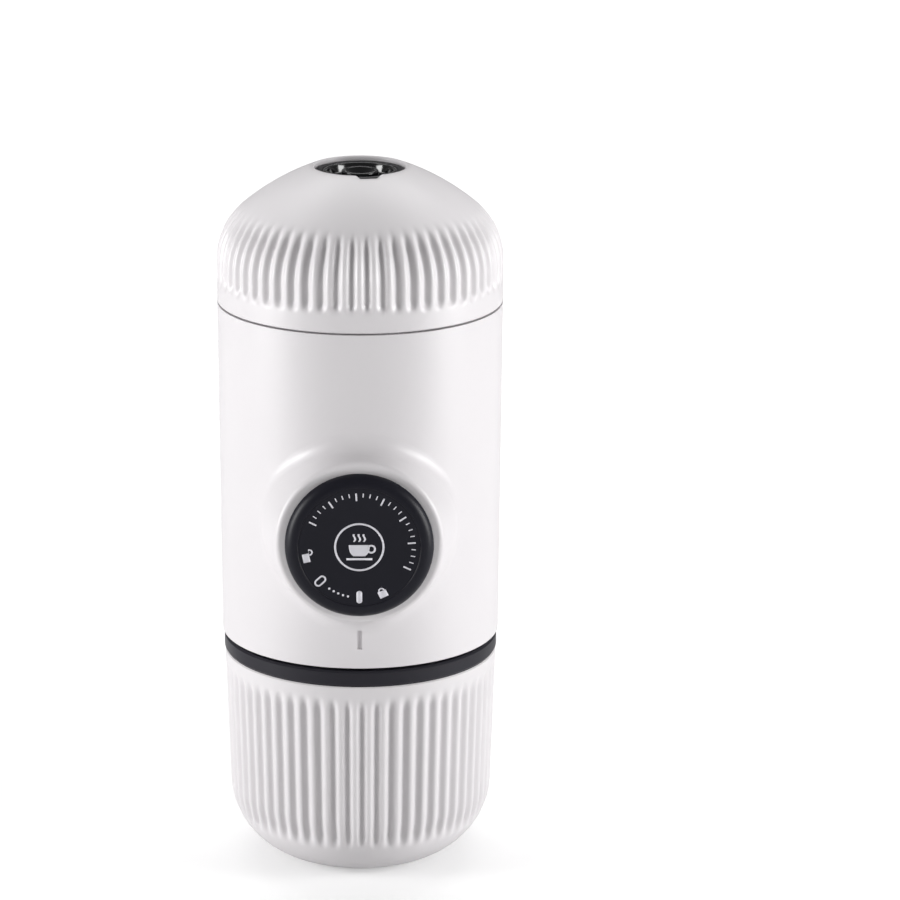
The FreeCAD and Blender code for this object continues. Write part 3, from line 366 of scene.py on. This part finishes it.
def cover_profile(settings):
    """Section of the cover: its outside from the lower edge to the mouth, its lip and inside, and
    the centre and radius of its round corner."""
    corner_r = 14.36 * MM
    corner_deg = CROWN_START_DEG
    crown_r = 54.0 * MM
    mouth_r = 9.9 * MM
    edge_r = 0.5 * MM
    bevel = 0.25 * MM
    lip_r = mouth_r + edge_r
    cos_c = math.cos(math.radians(corner_deg))
    sin_c = math.sin(math.radians(corner_deg))
    crown_cr = COVER_R - corner_r - (crown_r - corner_r) * cos_c
    crown_cz = COVER_TOP - math.sqrt(crown_r ** 2 - (lip_r - crown_cr) ** 2)
    corner_cr = COVER_R - corner_r
    corner_cz = crown_cz + (crown_r - corner_r) * sin_c
    end_deg = math.degrees(math.asin((COVER_TOP - crown_cz) / crown_r))
    wall = settings.cover_wall
    outer = [(COVER_R - bevel, COVER_BOTTOM), (COVER_R, COVER_BOTTOM + bevel)]
    outer += line_points(outer[-1], (COVER_R, corner_cz), 26)
    outer += arc_points(corner_cr, corner_cz, corner_r, 0, corner_deg, 34)
    outer += arc_points(crown_cr, crown_cz, crown_r, corner_deg, end_deg, 18)
    lip = arc_points(lip_r, COVER_TOP - edge_r, edge_r, 90, 180, 5)
    inner_top = crown_cz + math.sqrt((crown_r - wall) ** 2 - (mouth_r - crown_cr) ** 2)
    inner = line_points(lip[-1], (mouth_r, inner_top), 3)
    inner_end = math.degrees(math.asin((inner_top - crown_cz) / (crown_r - wall)))
    inner += arc_points(crown_cr, crown_cz, crown_r - wall, inner_end, corner_deg, 8)
    inner += arc_points(corner_cr, corner_cz, corner_r - wall, corner_deg, 0, 6)
    inner += [(COVER_R - wall, COVER_BOTTOM + 2 * MM), (COVER_R - wall, COVER_BOTTOM)]
    return outer, lip + inner, (corner_cr, corner_cz, corner_r)


class ESPRESSO_OT_cover(bpy.types.Operator):
    """Build the ribbed outlet cover"""
    bl_idname = "espresso.cover"
    bl_label = "Outlet cover"

    def execute(self, context):
        settings = context.scene.espresso_shell
        outer, rest, corner = cover_profile(settings)
        bm = spin_profile(outer + rest, settings.cover_ribs * RIB_STEPS)
        corner_cr, corner_cz, corner_r = corner
        corner_slack = 0.2 * MM
        crown_slack = 0.05 * MM
        crown_clear_r = 12 * MM
        outside = COVER_R - settings.cover_wall * 0.5
        groove_low = 130.2 * MM
        groove_full = 133.0 * MM
        fade_start = math.radians(33.0)
        fade_end = math.radians(55.0)
        for vert in bm.verts:
            r = math.hypot(vert.co.x, vert.co.y)
            z = vert.co.z
            rise = math.atan2(z - corner_cz, r - corner_cr) if z > corner_cz else 0.0
            reach = math.hypot(r - corner_cr, z - corner_cz)
            on_outside = r > outside if z <= corner_cz else reach > corner_r - corner_slack
            if z > corner_cz and rise > math.radians(CROWN_START_DEG):
                on_outside = (reach > corner_r - crown_slack and r > crown_clear_r
                              and rise < fade_end)
            if not on_outside:
                continue
            share = smooth(groove_low, groove_full, z) * (1 - smooth(fade_start, fade_end, rise))
            if share <= 0:
                continue
            angle = math.atan2(vert.co.y, vert.co.x)
            depth = settings.rib_depth * share * rib_groove(angle, settings.cover_ribs)
            inward = Vector((-math.cos(rise) * vert.co.x / r, -math.cos(rise) * vert.co.y / r,
                             -math.sin(rise)))
            vert.co += inward * depth
        turn_about_z(bm, -math.pi / 2 + math.pi / settings.cover_ribs)
        self.cut_notch(bm)
        finish_piece(bm, "cover_ribbed", "outlet_cover", MATERIALS["shell"],
                     replaces=("outlet_shell",))
        return {"FINISHED"}

    def cut_notch(self, bm):
        """Lowers the mouth's front edge into a shallow, soft-sided notch."""
        notch_x = 1.9 * MM
        notch_half = 2.9 * MM
        notch_depth = 0.75 * MM
        lip_zone = 1.6 * MM
        full_r = 10.6 * MM
        end_r = 11.6 * MM
        for vert in bm.verts:
            r = math.hypot(vert.co.x, vert.co.y)
            if vert.co.y < 0 and r < end_r and vert.co.z > COVER_TOP - lip_zone:
                along = abs(vert.co.x - notch_x) / notch_half
                dip = 1 - smooth(0.55, 1.0, along)
                near = 1 - smooth(full_r, end_r, r)
                vert.co.z -= notch_depth * dip * near


class ESPRESSO_OT_cup(bpy.types.Operator):
    """Build the ribbed cup"""
    bl_idname = "espresso.cup"
    bl_label = "Cup"

    def execute(self, context):
        settings = context.scene.espresso_shell
        corner = 17.3 * MM
        low_r = 29.0 * MM
        flat_r = low_r - corner
        wall = settings.cup_wall
        inner_corner = corner - wall
        floor = settings.cup_floor
        rim_edge = 0.3 * MM
        outer = [(flat_r * 0.5, 0.0), (flat_r, 0.0)]
        outer += arc_points(flat_r, corner, corner, -90, 0, 40)
        outer += line_points(outer[-1], (CUP_RIM_R, CUP_TOP - rim_edge), 44)
        outer += [(CUP_RIM_R - rim_edge, CUP_TOP)]
        bore_top = CUP_RIM_R - wall
        centre_z = floor + inner_corner
        bore_low = low_r - wall
        inner = [(bore_top + rim_edge, CUP_TOP), (bore_top, CUP_TOP - rim_edge)]
        inner += line_points(inner[-1], (bore_low, centre_z), 4)
        inner += arc_points(bore_low - inner_corner, centre_z, inner_corner, 0, -90, 10)
        inner += [((bore_low - inner_corner) * 0.5, floor), (0.0, floor)]
        bm = spin_profile([(0.0, 0.0)] + outer + inner, settings.cup_ribs * RIB_STEPS,
                          closed=False)
        fade_low = math.radians(-30.0)
        full_low = math.radians(-16.0)
        full_high = 41.4 * MM
        fade_high = 45.6 * MM
        corner_slack = 0.1 * MM
        for vert in bm.verts:
            r = math.hypot(vert.co.x, vert.co.y)
            z = vert.co.z
            angle_down = math.atan2(z - corner, r - flat_r) if z < corner else 0.0
            if z < corner:
                reach = math.hypot(r - flat_r, z - corner)
                on_outside = reach > corner - corner_slack and r > flat_r
            else:
                on_outside = r > low_r - wall * 0.5
            if not on_outside or angle_down < fade_low:
                continue
            share = smooth(fade_low, full_low, angle_down) * (1 - smooth(full_high, fade_high, z))
            angle = math.atan2(vert.co.y, vert.co.x)
            depth = settings.rib_depth * share * rib_groove(angle, settings.cup_ribs)
            inward = Vector((-math.cos(angle_down) * vert.co.x / r,
                             -math.cos(angle_down) * vert.co.y / r, -math.sin(angle_down)))
            vert.co += inward * depth
        turn_about_z(bm, -math.pi / 2 + settings.cup_rib_turn)
        finish_piece(bm, "cup_ribbed", "cup", MATERIALS["shell"],
                     replaces=("portable_cup",))
        return {"FINISHED"}


class ESPRESSO_OT_spout(bpy.types.Operator):
    """Build the glossy insert in the mouth"""
    bl_idname = "espresso.spout"
    bl_label = "Spout insert"

    def execute(self, context):
        low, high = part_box("spout_nozzle")
        top = high.z
        bottom = low.z
        flange_r = (high.x - low.x) / 2
        stem_r = flange_r - 1.0 * MM
        hole_r = 1.6 * MM
        nozzle_r = 4.0 * MM
        ledge = top - 2.8 * MM
        dish = ledge + 0.9 * MM
        edge = 0.3 * MM
        nozzle_top = top - 0.35 * MM
        points = [(hole_r, bottom), (stem_r, bottom), (stem_r, ledge), (flange_r, ledge)]
        points += line_points(points[-1], (flange_r, top - edge), 2)
        points += arc_points(flange_r - edge, top - edge, edge, 0, 90, 4)
        points += arc_points(flange_r - 2 * edge, top - edge, edge, 90, 165, 4)
        points += line_points(points[-1], (flange_r - 1.3 * MM, dish + 0.25 * MM), 3)
        points += [(flange_r - 1.7 * MM, dish), (nozzle_r + 0.5 * MM, dish),
                   (nozzle_r + 0.15 * MM, dish + 0.3 * MM)]
        points += line_points(points[-1], (nozzle_r, nozzle_top), 3)
        points += arc_points(nozzle_r - edge, nozzle_top, edge, 0, 90, 4)
        points += arc_points(nozzle_r - 2 * edge, nozzle_top, edge, 90, 160, 4)
        points += [(hole_r + 0.3 * MM, top - 1.3 * MM), (hole_r, top - 1.6 * MM)]
        bm = spin_profile(points, 96)
        finish_piece(bm, "spout_insert", "holder", MATERIALS["gloss"],
                     smooth_angle=40.0, replaces=("spout_nozzle",))
        return {"FINISHED"}


class ESPRESSO_OT_body(bpy.types.Operator):
    """Finish the body shell"""
    bl_idname = "espresso.body"
    bl_label = "Body shell"

    def execute(self, context):
        dress_nodes(["body_shell"], MATERIALS["shell"])
        return {"FINISHED"}


# Marks on the knob
def dish_y(x, z):
    """Front of the knob's dished face at a point."""
    sag = 0.4 * MM
    r = math.hypot(x, z - KNOB_Z)
    return FACE_RIM_Y + sag * (1 - (r / FACE_R) ** 2)


def lay_on_face(bm, angle_deg, radius):
    """Moves a flat mark, drawn in X and Z about the origin with its foot down, to a place on the
    face: angle from 6 o'clock, clockwise seen from the front, at a radius."""
    proud = 0.02 * MM
    turn = math.radians(angle_deg)
    for vert in bm.verts:
        x = vert.co.x
        z = vert.co.z - radius
        new_x = x * math.cos(turn) + z * math.sin(turn)
        new_z = z * math.cos(turn) - x * math.sin(turn)
        vert.co = Vector((new_x, 0, new_z + KNOB_Z))
        vert.co.y = dish_y(vert.co.x, vert.co.z) - proud


def flat_ring(outer, inner, stretch=0.0, segments=40):
    """A flat ring in X and Z, or a disc when inner is 0; stretch pulls it into a capsule."""
    bm = bmesh.new()
    bmesh.ops.create_circle(bm, cap_ends=inner == 0, segments=segments, radius=outer)
    if inner > 0:
        bmesh.ops.create_circle(bm, segments=segments, radius=inner)
        bmesh.ops.bridge_loops(bm, edges=list(bm.edges))
    for vert in bm.verts:
        side = 1 if vert.co.y > 1e-9 else -1 if vert.co.y < -1e-9 else 0
        vert.co = Vector((vert.co.x, 0, vert.co.y + side * stretch))
    return bm


def flat_bar(width, height, x=0.0, z=0.0):
    """A flat bar in X and Z about a centre."""
    bm = bmesh.new()
    bmesh.ops.create_grid(bm, x_segments=2, y_segments=4, size=0.5)
    for vert in bm.verts:
        vert.co = Vector((vert.co.x * width + x, 0, vert.co.y * height + z))
    return bm


def join_marks(parts):
    """One bmesh from several laid marks."""
    whole = bmesh.new()
    for part in parts:
        mesh = bpy.data.meshes.new("mark")
        part.to_mesh(mesh)
        part.free()
        whole.from_mesh(mesh)
        bpy.data.meshes.remove(mesh)
    return whole


def padlock(opened):
    """A small padlock: body and shackle; opened lifts the shackle."""
    bm = flat_bar(1.9 * MM, 1.45 * MM, 0, -0.35 * MM)
    shackle = flat_ring(0.72 * MM, 0.42 * MM, segments=24)
    lift = 0.55 * MM if opened else 0.35 * MM
    for vert in shackle.verts:
        if vert.co.z < 0:
            vert.co.z = -0.1 * MM
        vert.co.z += lift
        if opened:
            vert.co.x -= 1.1 * MM
    return join_marks([bm, shackle])


def ink_piece(bm, name):
    """Gives a flat mark a small thickness and its ink."""
    obj = finish_piece(bm, name, "knob", MATERIALS["ink"])
    thick = obj.modifiers.new("thickness", "SOLIDIFY")
    thick.thickness = 0.05 * MM
    thick.offset = 0.0


def centre_motif():
    """A cup seen from the side inside a thin ring: plain and generic."""
    ring = flat_ring(5.3 * MM, 4.9 * MM, segments=72)
    drawing = []
    bowl = bmesh.new()
    bmesh.ops.create_grid(bowl, x_segments=12, y_segments=6, size=0.5)
    for vert in bowl.verts:
        down = 0.5 - vert.co.y
        width = 3.4 * MM * math.sqrt(max(0.0, 1 - (down * 0.86) ** 2.6))
        vert.co = Vector((vert.co.x * width, 0, -down * 1.9 * MM + 0.35 * MM))
    drawing.append(bowl)
    handle = flat_ring(0.75 * MM, 0.45 * MM, segments=24)
    for vert in handle.verts:
        vert.co.x += 1.95 * MM
        vert.co.z -= 0.35 * MM
    drawing.append(handle)
    saucer = flat_bar(4.2 * MM, 0.34 * MM, 0, -2.05 * MM)
    drawing.append(saucer)
    for x in (-0.8, 0.0, 0.8):
        steam = flat_bar(0.3 * MM, 1.3 * MM, x * MM, 1.55 * MM)
        for vert in steam.verts:
            vert.co.x += 0.16 * MM * math.sin((vert.co.z / MM - 1.0) * 4.6)
        drawing.append(steam)
    for part in drawing:
        bmesh.ops.scale(part, verts=part.verts, vec=(1.3, 1.0, 1.3))
    for part in [ring] + drawing:
        lay_on_face(part, 0, 0)
    return join_marks([ring] + drawing)


class ESPRESSO_OT_knob(bpy.types.Operator):
    """Finish the knob and lay its printed marks"""
    bl_idname = "espresso.knob"
    bl_label = "Knob and marks"

    def execute(self, context):
        dress_nodes(["knob_cap"], MATERIALS["knob"])
        dress_nodes(["knob_face"], MATERIALS["knob_face"])
        mark_r = 11.1 * MM
        pill = flat_ring(0.62 * MM, 0, stretch=0.75 * MM)
        lay_on_face(pill, 0, mark_r - 0.1 * MM)
        ink_piece(pill, "mark_locked")
        zero = flat_ring(0.85 * MM, 0.5 * MM, stretch=0.55 * MM)
        lay_on_face(zero, 48, mark_r)
        ink_piece(zero, "mark_unlocked")
        dots = []
        for step in range(5):
            dot = flat_ring(0.24 * MM, 0, segments=16)
            lay_on_face(dot, 12.5 + 5.6 * step, mark_r)
            dots.append(dot)
        ink_piece(join_marks(dots), "mark_dots")
        locks = []
        for opened, angle in ((False, -26), (True, 78)):
            lock = padlock(opened)
            lay_on_face(lock, angle, mark_r)
            locks.append(lock)
        ink_piece(join_marks(locks), "mark_padlocks")
        ticks = []
        tick_count = 25
        long_height = 1.7 * MM
        for step in range(tick_count):
            long_tick = step % 4 == 0
            height = long_height if long_tick else 0.9 * MM
            tick = flat_bar((0.34 if long_tick else 0.22) * MM, height, 0,
                            -(long_height - height) / 2)
            lay_on_face(tick, 118 + 7.5 * step * 0.98, mark_r)
            ticks.append(tick)
        ink_piece(join_marks(ticks), "mark_scale")
        ink_piece(centre_motif(), "mark_centre")
        return {"FINISHED"}


class ESPRESSO_OT_inside(bpy.types.Operator):
    """Finish the collar and the pieces that show when it is taken apart"""
    bl_idname = "espresso.inside"
    bl_label = "Collar and inner pieces"

    def execute(self, context):
        groups = {
            "collar": ["tank_collar"],
            "black": ["filter_holder", "brew_head", "tank_socket", "plunger_sleeve", "knob_guide"],
            "nylon": ["pump_body", "inlet_fitting", "outlet_fitting", "relief_cap",
                      "relief_poppet", "piston_rod"],
            "rubber": ["piston_seal", "brew_gasket", "riser_seals", "tank_gasket", "cup_seal"],
            "clear_silicone": ["tank_air_valve"],
            "steel": ["filter_basket", "shower_screen", "intake_screen", "shower_screw",
                      "riser_tube", "inlet_ball", "outlet_ball"],
            "screw": ["head_screws", "pump_screws", "socket_screws"],
            "wire": ["return_spring", "inlet_spring", "outlet_spring", "relief_spring"],
            "tank": ["water_tank"],
        }
        for key, nodes in groups.items():
            dress_nodes(nodes, MATERIALS[key])
        return {"FINISHED"}


# Stage
def area_lamp(name, place, target, size, power):
    """A soft rectangular white lamp that looks at a point."""
    data = bpy.data.lights.new(name, "AREA")
    data.shape = "RECTANGLE"
    data.size, data.size_y = size
    data.energy = power
    lamp = bpy.data.objects.new(name, data)
    bpy.context.scene.collection.objects.link(lamp)
    lamp.location = place
    lamp.rotation_euler = (Vector(target) - Vector(place)).to_track_quat("-Z", "Y").to_euler()


def white_world(ambient):
    """Even light on the object, dim in its gloss; white to the camera and through clear pieces."""
    world = bpy.data.worlds.new("studio")
    world.use_nodes = True
    tree = world.node_tree
    tree.nodes.clear()
    path = add(tree, "ShaderNodeLightPath")
    seen = add(tree, "ShaderNodeMath", [(path.outputs["Is Camera Ray"], 0),
                                        (path.outputs["Is Transmission Ray"], 1)],
               operation="MAXIMUM")
    levels = []
    for strength in (ambient, 0.2, 1.0):
        level = add(tree, "ShaderNodeBackground", strength=strength)
        level.inputs["Color"].default_value = (1, 1, 1, 1)
        levels.append(level.outputs[0])
    gloss = add(tree, "ShaderNodeMixShader", [(path.outputs["Is Glossy Ray"], 0), (levels[0], 1),
                                              (levels[1], 2)])
    mix = add(tree, "ShaderNodeMixShader", [(seen.outputs[0], 0), (gloss.outputs[0], 1),
                                            (levels[2], 2)])
    out = add(tree, "ShaderNodeOutputWorld")
    tree.links.new(mix.outputs[0], out.inputs["Surface"])
    return world


def floor_material():
    """White ground: white to the camera, with the object's soft contact shadow. The lift grows
    away from the object, where the lamps reach less."""
    material, tree, shader = new_material("white_table", Base_Color=(0.8, 0.8, 0.8, 1),
                                          Roughness=0.5, Specular_IOR_Level=0.0)
    place = add(tree, "ShaderNodeTexCoord")
    away = add(tree, "ShaderNodeVectorMath", [(place.outputs["Object"], 0)], operation="LENGTH")
    lift = mapped(tree, away.outputs["Value"], 0.1, 0.9, 0.34, 0.92)
    path = add(tree, "ShaderNodeLightPath")
    seen = add(tree, "ShaderNodeMath", [(path.outputs["Is Camera Ray"], 0),
                                        (path.outputs["Is Transmission Ray"], 1)],
               operation="MAXIMUM")
    level = add(tree, "ShaderNodeMath", [(seen.outputs[0], 0), (lift, 1)], operation="MULTIPLY")
    shader.inputs["Emission Color"].default_value = (1, 1, 1, 1)
    tree.links.new(level.outputs[0], shader.inputs["Emission Strength"])
    return material


class ESPRESSO_OT_stage(bpy.types.Operator):
    """Set the floor, the lamps and the camera"""
    bl_idname = "espresso.stage"
    bl_label = "Stage"

    def execute(self, context):
        settings = context.scene.espresso_stage
        bm = bmesh.new()
        bmesh.ops.create_grid(bm, x_segments=1, y_segments=1, size=6.0)
        mesh = bpy.data.meshes.new("table")
        bm.to_mesh(mesh)
        bm.free()
        table = bpy.data.objects.new("table", mesh)
        context.scene.collection.objects.link(table)
        dress(table, floor_material())
        context.scene.world = white_world(settings.ambient)
        centre = (0, 0, 0.08)
        for name, side in (("left_box", -1), ("right_box", 1)):
            area_lamp(name, (side * 0.72, -0.22, 0.16), centre, (0.30, 0.50), 6.0)
        area_lamp("top_box", (0.0, 0.35, 0.75), centre, (0.80, 0.40), 3.0)
        data = bpy.data.cameras.new("camera")
        data.lens = settings.lens
        data.sensor_width = 36.0
        data.clip_end = 20.0
        camera = bpy.data.objects.new("camera", data)
        context.scene.collection.objects.link(camera)
        camera.location = settings.camera_place
        camera.rotation_euler = (math.pi / 2 - settings.pitch, settings.roll, -settings.yaw)
        context.scene.camera = camera
        context.scene.view_settings.view_transform = "Standard"
        return {"FINISHED"}


class ESPRESSO_PT_panel(bpy.types.Panel):
    """Lists the builders of each piece"""
    bl_label = "Espresso Maker"
    bl_idname = "ESPRESSO_PT_panel"
    bl_space_type = "VIEW_3D"
    bl_region_type = "UI"
    bl_category = "Espresso Maker"

    def draw(self, context):
        column = self.layout.column()
        for operator in BUILDERS:
            column.operator(operator.bl_idname)


SETTINGS = {
    "espresso_shell": EspressoShellSettings,
    "espresso_colour": EspressoColourSettings,
    "espresso_stage": EspressoStageSettings,
}
BUILDERS = (ESPRESSO_OT_cover, ESPRESSO_OT_cup, ESPRESSO_OT_spout, ESPRESSO_OT_body,
            ESPRESSO_OT_knob, ESPRESSO_OT_inside, ESPRESSO_OT_stage)
MATERIALS = {}


def make_materials(colours):
    """One material for each finish of the object."""
    MATERIALS.update({
        "shell": white_abs(colours.shell),
        "knob": black_polymer("knob_abs_satin", colours.knob, 0.36, 0.3, 0.05),
        "knob_face": black_polymer("knob_face_satin", colours.knob, 0.42, 0.3, 0.05),
        "collar": black_polymer("collar_abs_satin", colours.collar, 0.4, 0.3, 0.06),
        "black": black_polymer("black_nylon_moulded", "#1C1C20", 0.5),
        "nylon": black_polymer("grey_nylon_glass_filled", "#62666A", 0.55, 0.5, 0.2),
        "gloss": gloss_polymer(),
        "rubber": silicone("black_silicone", "#161616"),
        "clear_silicone": silicone("natural_silicone", "#B9BCBD", 0.4),
        "steel": stainless("stainless_pressed", 0.26),
        "screw": stainless("zinc_plated_screw", 0.34, 0.15),
        "wire": stainless("drawn_spring_wire", 0.3, 0.12),
        "ink": print_ink(colours.print_ink),
        "tank": smoked_copolyester(colours.tank),
    })


def register():
    for group in SETTINGS.values():
        bpy.utils.register_class(group)
    for name, group in SETTINGS.items():
        setattr(bpy.types.Scene, name, PointerProperty(type=group))
    for operator in BUILDERS:
        bpy.utils.register_class(operator)
    bpy.utils.register_class(ESPRESSO_PT_panel)


def unregister():
    bpy.utils.unregister_class(ESPRESSO_PT_panel)
    for operator in reversed(BUILDERS):
        bpy.utils.unregister_class(operator)
    for name in SETTINGS:
        delattr(bpy.types.Scene, name)
    for group in reversed(list(SETTINGS.values())):
        bpy.utils.unregister_class(group)


def main():
    register()
    make_materials(bpy.context.scene.espresso_colour)
    bpy.ops.espresso.stage()
    bpy.ops.espresso.cover()
    bpy.ops.espresso.cup()
    bpy.ops.espresso.spout()
    bpy.ops.espresso.body()
    bpy.ops.espresso.knob()
    bpy.ops.espresso.inside()


if __name__ == "__main__":
    main()
